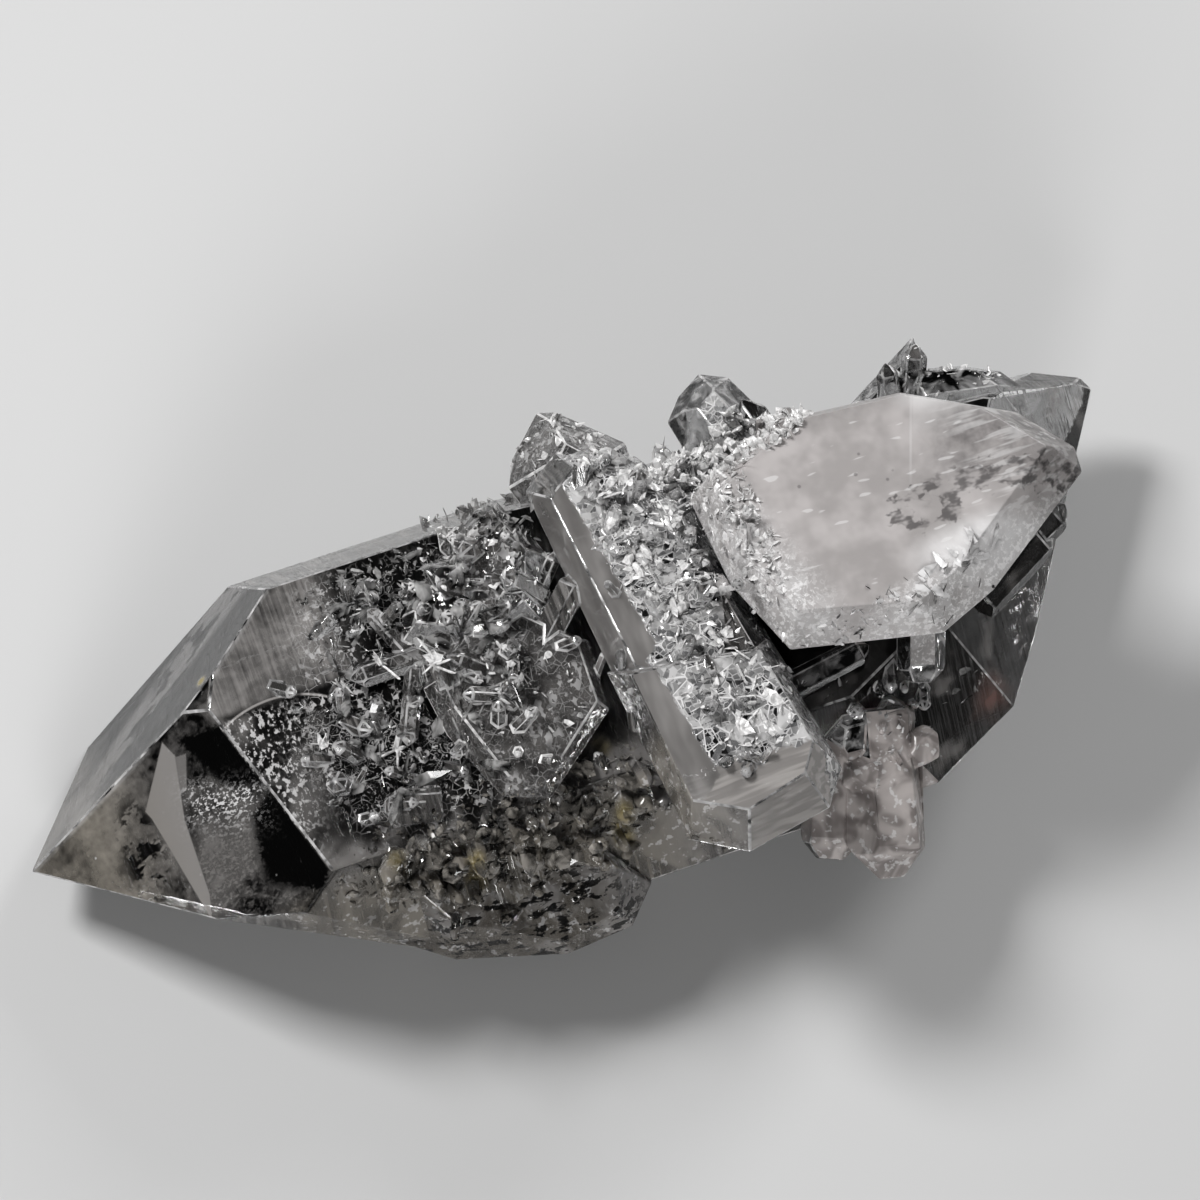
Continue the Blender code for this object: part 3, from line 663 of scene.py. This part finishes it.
class MilkyFinish:
    """The milky crystal: warm white, cloudy, with a fault line, a dark track, a bright edge and
    painted shade past the fault line and towards the back.
    """

    TRACK_POINT = (22.0, -2.4)
    TRACK_HEADING = (0.10, 1.0)
    FAULT_POINT = (22.14, 4.25)
    FAULT_HEADING = (0.932, -0.363)
    BRIGHT_EDGE = ((23.0, -6.6, 24.0), (5.6, 2.0, 6.0))
    BRIGHT_TOP = ((23.6, 4.4, 25.0), (2.8, 1.5, 4.0))
    HOOK = ((20.2, -3.4, 25.0), (2.4, 1.7, 4.0))
    CLEAR_END = ((29.4, -3.6, 22.0), (4.0, 3.4, 9.0))
    CLOUD = (0.40, 0.378, 0.372)
    MILKY_SHADE = (0.17, 0.16, 0.158)
    TRACK = (0.16, 0.15, 0.15)

    def make(self) -> bpy.types.Material:
        """The finish.

        Returns:
            The material.
        """
        sheet = Sheet("milky_crystal")
        soft = sheet.noise(4.0, 3.0, 0.62)
        fine = sheet.noise(0.8, 2.0, 0.62)
        bright = sheet.blob(*self.BRIGHT_EDGE).ramp(1.2, 0.3)
        bright = bright.most(sheet.blob(*self.BRIGHT_TOP).ramp(1.3, 0.2) * 0.75)
        crusted = sheet.side((9.6, 0.0), (-1.0, -0.35)).ramp(-1.6, 1.6)
        crusted = crusted.most(sheet.side((14.0, -9.2), (0.3, -1.0)).ramp(-1.2, 0.8))
        _, own = sheet.shards(0.9)
        grains = sheet.noise(0.4, 2.0, 0.7).ramp(0.50, 0.60)
        scars = sheet.curls(1.2)
        track = sheet.side(self.TRACK_POINT, self.TRACK_HEADING).distance(0.0) + (fine - 0.5) * 3.4
        track = track.ramp(1.0, 0.5) * sheet.x.ramp(19.0, 24.0)
        hook = sheet.blob(*self.HOOK).distance(0.75) + (fine - 0.5) * 1.4
        hook = hook.ramp(0.3, 0.12)
        dark = track.most(hook) * sheet.noise(0.7, 2.0, 0.6, 0.0, (1.8, 1.0, 1.0)).ramp(0.40, 0.60)
        fault = sheet.side(self.FAULT_POINT, self.FAULT_HEADING)
        line = fault.distance(0.0).ramp(0.12, 0.03) * sheet.y.ramp(-3.0, 1.0)
        beyond = fault.ramp(0.0, 0.2) * sheet.y.ramp(0.6, 3.5)
        flecks = sheet.noise(0.6, 1.0, 0.5, 0.0, (3.0, 0.8, 1.0)).ramp(0.67, 0.72)
        colour = sheet.colour(soft.ramp(0.36, 0.62), self.CLOUD, MILK)
        # Painted shade: darker past the fault line and towards the back.
        painted_shade = fault.ramp(-1.0, 5.0) * sheet.y.ramp(-4.0, 0.0)
        painted_shade = painted_shade.most(sheet.y.ramp(3.0, 6.0) * 0.7)
        painted_shade = painted_shade * (0.75 + (soft - 0.5) * 2.6 + (fine - 0.5) * 1.6)
        colour = sheet.colour(painted_shade.clamped(), colour, self.MILKY_SHADE)
        colour = sheet.colour((bright * (0.5 + fine * 0.6)).clamped(), colour, BRIGHT)
        streaks = sheet.noise(1.2, 2.0, 0.6, 0.0, (4.0, 0.45, 0.5)).ramp(0.52, 0.62)
        colour = sheet.colour(streaks * sheet.x.ramp(22.0, 26.0) * 0.35, colour, BRIGHT)
        crust = crusted * (own * 0.55 + grains * 0.35 + scars * 0.5 + 0.12)
        colour = sheet.colour(crust.clamped(), colour, BRIGHT)
        colour = sheet.colour((flecks * 0.4 + beyond * 0.25 + line * 0.2).clamped(), colour, BRIGHT)
        pits = sheet.cells(1.7).ramp(0.10, 0.05) * soft.ramp(0.52, 0.44)
        colour = sheet.colour((dark * 0.7).most(pits * 0.6), colour, self.TRACK)
        ends = sheet.blob(*self.CLEAR_END).ramp(1.1, 0.3)
        veil = 0.95 - dark * 0.3 - ends * 0.25 - crusted * (1.0 - grains) * 0.16
        normal = sheet.bump(sheet.noise(3.0, 1.0, 0.5) + fine * 0.2, 0.16)
        return Quartz(veil_roughness=0.38).finish(sheet, veil, colour, SMOKE, normal)


class BunchFinish:
    """The small milky crystals at the near side: smooth, pinkish grey and softly see-through."""

    DEEP = (0.31, 0.28, 0.27)
    LIGHT = (0.54, 0.50, 0.485)

    def make(self) -> bpy.types.Material:
        """The finish.

        Returns:
            The material.
        """
        sheet = Sheet("near_bunch")
        soft = sheet.noise(2.0, 2.0, 0.55, 0.7)
        fine = sheet.noise(0.6, 2.0, 0.6)
        colour = sheet.colour(soft.ramp(0.4, 0.6), self.DEEP, self.LIGHT)
        colour = sheet.colour(fine.ramp(0.58, 0.66) * 0.6, colour, BRIGHT)
        normal = sheet.bump(sheet.noise(1.6, 1.0, 0.5), 0.14)
        veil = 0.84 + (soft - 0.5) * 0.8
        return Quartz(veil_roughness=0.34).finish(sheet, veil, colour, SMOKE, normal)


@dataclass(frozen=True)
class KnobFinish:
    """Small clear crystals with faint veils."""

    name: str = "knobs"
    veil: float = 0.10
    colour: Triple = BRIGHT
    tint: float = 0.42
    grain: float = 1.4
    stained: bool = False

    def make(self) -> bpy.types.Material:
        """The finish.

        Returns:
            The material.
        """
        sheet = Sheet(self.name)
        soft = sheet.noise(self.grain, 2.0, 0.6, 0.8)
        veil = (soft - 0.5) * 1.8 + self.veil
        colour = self.colour
        if self.stained:
            stain = stains(sheet, soft)
            colour = sheet.colour(stain, colour, IRON)
            veil = veil.most(stain * 0.7)
        normal = sheet.bump(sheet.noise(self.grain, 1.0), 0.05)
        return Quartz(veil_roughness=0.2).finish(sheet, veil, colour, (self.tint,) * 3, normal)


class Zone(Enum):
    """Which crystal a face belongs to, each with the material slot's number."""

    MAIN = 0
    BULGE = 1
    BLOCK = 2
    MILKY = 3
    BUNCH = 4
    KNOB = 5
    PLATE = 6
    EDGE = 7
    RIM = 8


# A face belongs to the crystal of the nearest ellipsoid: its centre and radii in millimetres.
REGIONS = (
    (Zone.MILKY, (19.6, -1.2, 22.0), (14.4, 10.4, 7.0)),
    (Zone.KNOB, (11.4, -10.6, 15.4), (5.0, 3.0, 3.2)),
    (Zone.BLOCK, (3.4, -0.4, 18.0), (5.6, 12.6, 6.4)),
    (Zone.BLOCK, (4.4, -12.6, 18.0), (6.0, 7.6, 7.0)),
    (Zone.PLATE, (-7.6, 4.4, 17.8), (6.0, 5.8, 2.2)),
    (Zone.PLATE, (-7.4, -4.6, 17.6), (5.8, 6.6, 2.2)),
    (Zone.BLOCK, (10.6, 6.0, 16.6), (6.0, 5.0, 4.0)),
    (Zone.PLATE, (1.2, 13.0, 15.4), (4.6, 4.0, 5.0)),
    (Zone.KNOB, (12.2, 13.4, 13.4), (3.6, 4.2, 4.4)),
    (Zone.RIM, (7.7, 11.5, 14.6), (1.6, 1.4, 1.8)),
    (Zone.KNOB, (26.6, 10.6, 13.0), (6.4, 4.0, 3.4)),
    (Zone.PLATE, (-15.0, 0.4, 17.2), (3.4, 5.6, 1.4)),
    (Zone.KNOB, (19.2, -9.4, 14.6), (2.6, 2.4, 3.4)),
    (Zone.BUNCH, (13.4, -15.6, 11.6), (5.6, 6.4, 5.4)),
    (Zone.BULGE, (-12.2, -15.2, 6.6), (11.0, 5.4, 5.6)),
)


def deselect() -> None:
    """Leaves edit mode and selects nothing."""
    if bpy.context.object is not None and bpy.context.object.mode != "OBJECT":
        bpy.ops.object.mode_set(mode="OBJECT")
    bpy.ops.object.select_all(action="DESELECT")


def hold(piece: bpy.types.Object) -> None:
    """Makes a piece the only selected and the active one.

    Args:
        piece: The piece.
    """
    deselect()
    piece.select_set(True)
    bpy.context.view_layer.objects.active = piece


@dataclass
class Cluster:
    """The grown-together crystals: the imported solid's shape with worn edges."""

    edge_wear: float = 0.10
    edge_angle: float = 18.0
    flat_within: float = 0.1
    weld: float = 0.0005
    plane_within: float = 0.02
    beads_before: float = -9.0
    beads_left_of: float = 0.0
    beads_above: float = 7.5
    rims_right_of: float = -12.9

    def build(self) -> bpy.types.Object:
        """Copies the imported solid, joins its loose triangles to faces and softens its edges.

        Returns:
            The piece.
        """
        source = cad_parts[NODE]
        piece = bpy.data.objects.new("fused_crystals", source.data.copy())
        bpy.context.scene.collection.objects.link(piece)
        hold(piece)
        bpy.ops.object.mode_set(mode="EDIT")
        bpy.ops.mesh.select_all(action="SELECT")
        bpy.ops.mesh.remove_doubles(threshold=self.weld * MM)
        bpy.ops.mesh.dissolve_limited(angle_limit=math.radians(self.flat_within))
        bpy.ops.object.mode_set(mode="OBJECT")
        self.dress(piece)
        bpy.ops.object.mode_set(mode="EDIT")
        bpy.ops.mesh.select_all(action="SELECT")
        bpy.ops.mesh.quads_convert_to_tris(quad_method="BEAUTY", ngon_method="BEAUTY")
        bpy.ops.object.mode_set(mode="OBJECT")
        wear = piece.modifiers.new("Edge wear", "BEVEL")
        wear.width = self.edge_wear * MM
        wear.segments = 2
        wear.limit_method = "ANGLE"
        wear.angle_limit = math.radians(self.edge_angle)
        wear.use_clamp_overlap = False
        wear.material = Zone.EDGE.value
        bpy.ops.object.modifier_apply(modifier=wear.name)
        bpy.ops.object.shade_flat()
        for face in piece.data.polygons:
            if face.material_index == Zone.EDGE.value:
                face.material_index = self.edge_zone(face.center / MM - SHIFT).value
        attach(piece, "root")
        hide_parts(NODE)
        return piece

    def edge_zone(self, place: Vector) -> Zone:
        """Tells which finish a worn edge takes.

        Args:
            place: The place, in millimetres.

        Returns:
            The zone.
        """
        zone = self.zone_at(place)
        low_front = place.y < self.beads_before and place.x < self.beads_left_of
        if zone in (Zone.BULGE, Zone.BUNCH, Zone.MILKY) or (low_front and place.z > self.beads_above):
            return zone
        return Zone.RIM if zone is Zone.PLATE and place.x > self.rims_right_of else Zone.EDGE

    def dress(self, piece: bpy.types.Object) -> None:
        """Gives every face the finish of its crystal.

        Args:
            piece: The piece.
        """
        finishes = {
            Zone.MAIN: MainFinish(),
            Zone.BULGE: BulgeFinish(),
            Zone.BLOCK: BlockFinish(),
            Zone.MILKY: MilkyFinish(),
            Zone.BUNCH: BunchFinish(),
            Zone.KNOB: KnobFinish(),
            Zone.PLATE: PlateFinish(),
            # The edges are whitened partly as wear and partly as painted highlight; the plates' bright
            # rims are painted highlight.
            Zone.EDGE: KnobFinish("worn_and_highlit_edges", 0.36, tint=0.8),
            Zone.RIM: KnobFinish("bright_rims", 0.72, (0.84, 0.83, 0.825), 0.9),
        }
        piece.data.materials.clear()
        for zone in Zone:
            piece.data.materials.append(finishes[zone].make())
        for face in piece.data.polygons:
            place = face.center / MM - SHIFT
            broad = abs(place.z - MainFinish.BROAD_FACE) < self.plane_within
            face.material_index = (Zone.MAIN if broad else self.zone_at(place)).value

    def zone_at(self, place: Vector) -> Zone:
        """Tells which crystal a place belongs to.

        Args:
            place: The place, in millimetres.

        Returns:
            The zone.
        """
        nearest, reach = Zone.MAIN, 1.0
        for zone, centre, radii in REGIONS:
            away = Vector((place[axis] - centre[axis]) / radii[axis] for axis in range(3)).length
            if away < reach:
                nearest, reach = zone, away
        return nearest


class Habit(Enum):
    """The shapes of tiny crystals: sides, and width, thickness and point as shares of the length."""

    NEEDLE = (6, 0.10, 0.08, 0.18)
    PRISM = (6, 0.34, 0.30, 0.30)
    STUB = (6, 0.80, 0.72, 0.34)
    SHARD = (4, 0.62, 0.14, 0.55)


UPWARD = (0.0, 0.0, 1.0)
FRONT_SIDE = (0.0, -0.866, 0.5)
BACK_SIDE = (0.0, 0.866, 0.5)
LENGTHWISE = (1.0, 0.0, 0.0)
CROSSWISE = (0.1, -1.0, 0.0)
SLANTWISE = (1.0, 0.35, 0.0)


@dataclass(frozen=True)
class Patch:
    """A patch of druse under an ellipse that looks along normal, in millimetres and degrees.

    Its height is over the whole cluster unless it says otherwise. length and lean give the least
    and the most, and shares gives how often needles, prisms, stubs and shards come.
    """

    centre: tuple[float, float]
    half_length: float
    half_width: float
    count: int
    length: tuple[float, float]
    lean: tuple[float, float]
    shares: tuple[float, float, float, float]
    normal: Triple = UPWARD
    along: Triple = LENGTHWISE
    height: float = 40.0


FINE = (0.55, 0.05, 0.00, 0.40)
CRUST = (0.10, 0.40, 0.20, 0.30)
CHIPS = (0.12, 0.08, 0.00, 0.80)
BEADS = (0.00, 0.30, 0.70, 0.00)
STAR_ARMS = (0.70, 0.10, 0.00, 0.20)
PRISM_ONLY = (0.0, 1.0, 0.0, 0.0)
SHARDS_ONLY = (0.0, 0.0, 0.0, 1.0)


@dataclass
class Druse:
    """Tiny crystals of one finish, grown on the cluster."""

    finish: KnobFinish
    patches: tuple[Patch, ...]
    seed: int
    sink: float = 0.3
    wobble: float = 0.12
    firm_root: float = 0.1

    def habit_mesh(self, habit: Habit) -> tuple[np.ndarray, list[tuple[int, ...]]]:
        """Models one tiny crystal, one unit long, with its root at the origin.

        Args:
            habit: Its shape.

        Returns:
            Its corners and its faces.
        """
        sides, width, thickness, point = habit.value
        deselect()
        bpy.ops.mesh.primitive_cylinder_add(
            vertices=sides, radius=0.5, depth=1.0 - point, location=(0.0, 0.0, (1.0 - point) / 2.0)
        )
        one = bpy.context.object
        one.scale = (width, thickness, 1.0)
        bpy.ops.object.transform_apply(location=True, rotation=False, scale=True)
        bpy.ops.object.mode_set(mode="EDIT")
        bpy.ops.mesh.select_all(action="DESELECT")
        bpy.ops.object.mode_set(mode="OBJECT")
        for face in one.data.polygons:
            face.select = face.normal.z > 0.9
        bpy.ops.object.mode_set(mode="EDIT")
        bpy.ops.mesh.select_mode(type="FACE")
        bpy.ops.mesh.extrude_region_move(TRANSFORM_OT_translate={"value": (0.0, 0.0, point)})
        bpy.ops.mesh.merge(type="CENTER")
        bpy.ops.object.mode_set(mode="OBJECT")
        corners = np.array([vertex.co for vertex in one.data.vertices])
        faces = [tuple(face.vertices) for face in one.data.polygons]
        mesh = one.data
        bpy.data.objects.remove(one)
        bpy.data.meshes.remove(mesh)
        return corners, faces

    def build(self, ground: bpy.types.Object) -> bpy.types.Object:
        """Grows the patches on the ground and joins their crystals.

        Args:
            ground: The piece that they grow on.

        Returns:
            The piece.
        """
        chance = np.random.default_rng(self.seed)
        habits = list(Habit)
        models = [self.habit_mesh(habit) for habit in habits]
        tree = BVHTree.FromObject(ground, bpy.context.evaluated_depsgraph_get())
        corners, faces, filled = [], [], 0
        for patch in self.patches:
            for stand in self.stands(patch, tree, chance):
                points, rings = models[chance.choice(len(habits), p=patch.shares)]
                wobble = chance.uniform(-self.wobble, self.wobble, (len(points), 1))
                uneven = points * (1.0 + wobble * (points[:, 2:] > self.firm_root))
                corners.append(uneven @ stand[:3, :3].T + stand[:3, 3])
                faces += [tuple(index + filled for index in ring) for ring in rings]
                filled += len(points)
        name = self.finish.name
        mesh = bpy.data.meshes.new(name)
        mesh.from_pydata((np.concatenate(corners) * MM).tolist(), [], faces)
        mesh.materials.append(self.finish.make())
        piece = bpy.data.objects.new(name, mesh)
        bpy.context.scene.collection.objects.link(piece)
        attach(piece, "root")
        return piece

    def stands(self, patch: Patch, tree: BVHTree, chance: np.random.Generator) -> list[np.ndarray]:
        """Places for the crystals of a patch.

        Args:
            patch: The patch.
            tree: The ground's faces.
            chance: The random numbers.

        Returns:
            For each crystal a matrix from one unit to millimetres in the row frame.
        """
        normal = Vector(patch.normal).normalized()
        along = Vector(patch.along)
        along = (along - normal * normal.dot(along)).normalized()
        across = normal.cross(along)
        found = []
        for _ in range(patch.count):
            reach, bearing = math.sqrt(chance.random()), chance.uniform(0.0, math.tau)
            start = Vector((*patch.centre, patch.height)) + SHIFT
            start += along * (reach * patch.half_length * math.cos(bearing))
            start += across * (reach * patch.half_width * math.sin(bearing))
            place, face_normal, _, _ = tree.ray_cast(start * MM, -normal)
            lean = math.radians(chance.uniform(*patch.lean))
            heading, spin = chance.uniform(0.0, math.tau, 2)
            length = patch.length[0] + (patch.length[1] - patch.length[0]) * chance.random() ** 2
            if place is None:
                continue
            face_normal = face_normal if face_normal.dot(normal) > 0.0 else -face_normal
            turn = face_normal.to_track_quat("Z", "Y").to_matrix()
            tilt = Matrix.Rotation(heading, 3, "Z") @ Matrix.Rotation(lean, 3, "X")
            tilt = tilt @ Matrix.Rotation(spin, 3, "Z")
            stand = np.eye(4)
            stand[:3, :3] = np.array(turn @ tilt) * length
            root = Vector(place) / MM - Vector((turn @ tilt).col[2]) * (self.sink * length * 0.5)
            stand[:3, 3] = root
            found.append(stand)
        return found


CLEAR_PATCHES = (
    Patch((-13.2, -1.2), 6.8, 8.8, 160, (0.4, 2.4), (65.0, 92.0), FINE),
    Patch((-13.2, -1.2), 7.4, 9.2, 320, (0.12, 0.6), (30.0, 92.0), CHIPS),
    Patch((-9.8, 7.6), 9.4, 1.8, 300, (0.15, 0.9), (30.0, 90.0), CHIPS),
    Patch((17.4, -9.4), 6.0, 2.4, 60, (0.3, 1.2), (50.0, 92.0), FINE),
    Patch((-16.7, -7.6), 0.1, 0.1, 1, (2.4, 2.5), (84.0, 88.0), PRISM_ONLY),
    Patch((4.0, 27.0), 13.0, 3.0, 160, (0.3, 1.2), (0.0, 70.0), CRUST, BACK_SIDE, height=15.4),
)
STAR_PLACES = (
    (-12.0, 0.9),
    (-14.8, 1.6),
    (-12.0, -1.0),
    (-19.9, -1.9),
    (-15.7, -3.8),
    (-17.8, 1.1),
    (-14.3, 5.9),
)
FROSTED_PATCHES = (
    *(Patch(place, 0.3, 0.3, 8, (0.8, 2.2), (65.0, 90.0), STAR_ARMS) for place in STAR_PLACES),
    Patch((-7.8, 4.4), 5.2, 5.0, 260, (0.12, 0.8), (50.0, 92.0), CHIPS),
    Patch((-6.6, -4.0), 3.4, 4.0, 60, (0.12, 0.8), (50.0, 92.0), CHIPS),
    Patch((3.6, 1.2), 9.0, 3.2, 480, (0.12, 0.8), (55.0, 92.0), CHIPS, UPWARD, CROSSWISE),
    Patch((3.6, 1.2), 8.6, 3.0, 40, (0.8, 1.6), (70.0, 92.0), CRUST, UPWARD, CROSSWISE),
    Patch((5.0, -10.2), 5.2, 3.2, 170, (0.12, 0.7), (60.0, 92.0), CHIPS, UPWARD, CROSSWISE),
    Patch((5.8, -10.2), 4.6, 2.4, 24, (0.8, 1.8), (65.0, 92.0), FINE, UPWARD, CROSSWISE),
    Patch((10.8, 6.8), 5.4, 3.4, 700, (0.25, 1.1), (0.0, 80.0), CRUST),
    Patch((8.6, 1.2), 7.4, 1.6, 420, (0.12, 0.8), (40.0, 92.0), CHIPS, UPWARD, CROSSWISE),
    Patch((0.8, 12.4), 3.4, 2.8, 160, (0.12, 0.8), (40.0, 92.0), CHIPS),
    Patch((28.0, 9.6), 4.6, 2.2, 90, (0.12, 0.7), (30.0, 90.0), CHIPS),
)
DULL_PATCHES = (
    Patch((-10.4, -24.0), 11.6, 3.2, 100, (0.6, 1.9), (0.0, 75.0), BEADS, FRONT_SIDE, height=22.0),
    Patch((-10.4, -24.0), 12.0, 3.8, 1100, (0.15, 0.7), (20.0, 90.0), CHIPS, FRONT_SIDE, height=22.0),
)
MILKY_PATCHES = (
    Patch((12.6, -8.8), 5.0, 0.6, 110, (0.12, 0.7), (50.0, 92.0), CHIPS),
    Patch((8.4, -5.0), 5.0, 0.6, 110, (0.12, 0.7), (50.0, 92.0), CHIPS, UPWARD, CROSSWISE),
    Patch((14.2, -12.8), 3.4, 2.4, 50, (0.15, 0.6), (30.0, 90.0), CHIPS),
    Patch((21.0, -7.4), 4.0, 0.7, 24, (0.5, 1.6), (82.0, 92.0), SHARDS_ONLY, UPWARD, SLANTWISE),
)


@dataclass(frozen=True)
class Lamp:
    """A soft box that looks at the cluster: place and size in millimetres, power in watts."""

    name: str
    place: Triple
    size: tuple[float, float]
    power: float


LAMPS = (
    Lamp("key", (-160.0, 170.0, 330.0), (110.0, 110.0), 1.05),
    Lamp("side", (300.0, 180.0, 200.0), (120.0, 200.0), 0.60),
    Lamp("near", (-120.0, -320.0, 180.0), (120.0, 120.0), 0.58),
)


@dataclass
class Studio:
    """The floor, the lights, the surroundings and the camera at the photograph's angle."""

    azimuth: float = -19.8
    elevation: float = 66.0
    distance: float = 320.0
    scale: float = 0.065
    target: Triple = (0.0, 1.5, 16.1)
    frame_size: float = 1200.0
    sensor: float = 36.0
    floor_size: float = 4000.0
    floor_gap: float = 0.05
    surroundings: float = 0.07

    def build(self) -> None:
        """Sets everything up."""
        self.add_floor()
        self.add_surroundings()
        for lamp in LAMPS:
            self.add_lamp(lamp)
        self.add_camera()

    def add_floor(self) -> None:
        """A plain pale floor under the cluster."""
        deselect()
        place = (0.0, 0.0, -self.floor_gap * MM)
        bpy.ops.mesh.primitive_plane_add(size=self.floor_size * MM, location=place)
        floor = bpy.context.object
        floor.name = "floor"
        sheet = Sheet("pale_floor")
        inputs = {"Base Color": (0.60, 0.60, 0.60), "Roughness": 0.7}
        paper = sheet.make("ShaderNodeBsdfPrincipled", {}, inputs).outputs[0]
        floor.data.materials.append(sheet.finished(paper))

    def add_surroundings(self) -> None:
        """Soft grey light from all round."""
        world = bpy.data.worlds.new("studio")
        world.use_nodes = True
        backdrop = world.node_tree.nodes["Background"]
        backdrop.inputs["Color"].default_value = (1.0, 1.0, 1.0, 1.0)
        backdrop.inputs["Strength"].default_value = self.surroundings
        bpy.context.scene.world = world

    def add_lamp(self, lamp: Lamp) -> None:
        """Hangs up a soft box.

        Args:
            lamp: What it is like and where it is.
        """
        data = bpy.data.lights.new(lamp.name, "AREA")
        data.shape = "RECTANGLE"
        data.size, data.size_y = lamp.size[0] * MM, lamp.size[1] * MM
        data.energy = lamp.power
        box = bpy.data.objects.new(lamp.name, data)
        box.location = Vector(lamp.place) * MM
        box.rotation_euler = (-Vector(lamp.place)).to_track_quat("-Z", "Y").to_euler()
        bpy.context.scene.collection.objects.link(box)

    def add_camera(self) -> None:
        """The camera of the photograph."""
        turn, rise = math.radians(self.azimuth), math.radians(self.elevation)
        back = Vector(
            (math.sin(turn) * math.cos(rise), -math.cos(turn) * math.cos(rise), math.sin(rise))
        )
        right = Vector((math.cos(turn), math.sin(turn), 0.0))
        above = back.cross(right)
        data = bpy.data.cameras.new("photo")
        data.sensor_width = self.sensor
        data.lens = self.sensor * self.distance / self.scale / self.frame_size
        data.clip_start = 0.01
        camera = bpy.data.objects.new("photo", data)
        stand = Matrix((right, above, back)).transposed().to_4x4()
        stand.translation = (Vector(self.target) + SHIFT + back * self.distance) * MM
        camera.matrix_world = stand
        bpy.context.scene.collection.objects.link(camera)
        bpy.context.scene.camera = camera


def main() -> None:
    """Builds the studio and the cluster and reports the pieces."""
    logging.basicConfig(level=logging.INFO, format="%(name)s: %(message)s")
    scene = bpy.context.scene
    scene.view_settings.view_transform = "Standard"
    scene.view_settings.look = "Medium High Contrast"
    scene.cycles.caustics_refractive = False
    scene.cycles.caustics_reflective = False
    scene.cycles.max_bounces = 3
    scene.cycles.transmission_bounces = 3
    scene.cycles.glossy_bounces = 2
    scene.cycles.diffuse_bounces = 1
    Studio().build()
    cluster = Cluster().build()
    pieces = [cluster]
    for druse in (
        Druse(KnobFinish("clear_druse", 0.24, (0.88, 0.87, 0.86), 0.35), CLEAR_PATCHES, 3),
        Druse(KnobFinish("frosted_druse", 0.76, (0.97, 0.96, 0.955), 0.9, 0.5), FROSTED_PATCHES, 5),
        Druse(KnobFinish("dull_druse", 0.26, (0.52, 0.49, 0.45), 0.5, stained=True), DULL_PATCHES, 7),
        Druse(KnobFinish("milky_druse", 0.8, BRIGHT, 0.9), MILKY_PATCHES, 9),
    ):
        pieces.append(druse.build(cluster))
    for piece in pieces:
        log.info("%s: %d faces", piece.name, len(piece.data.polygons))


if __name__ == "__main__":
    main()
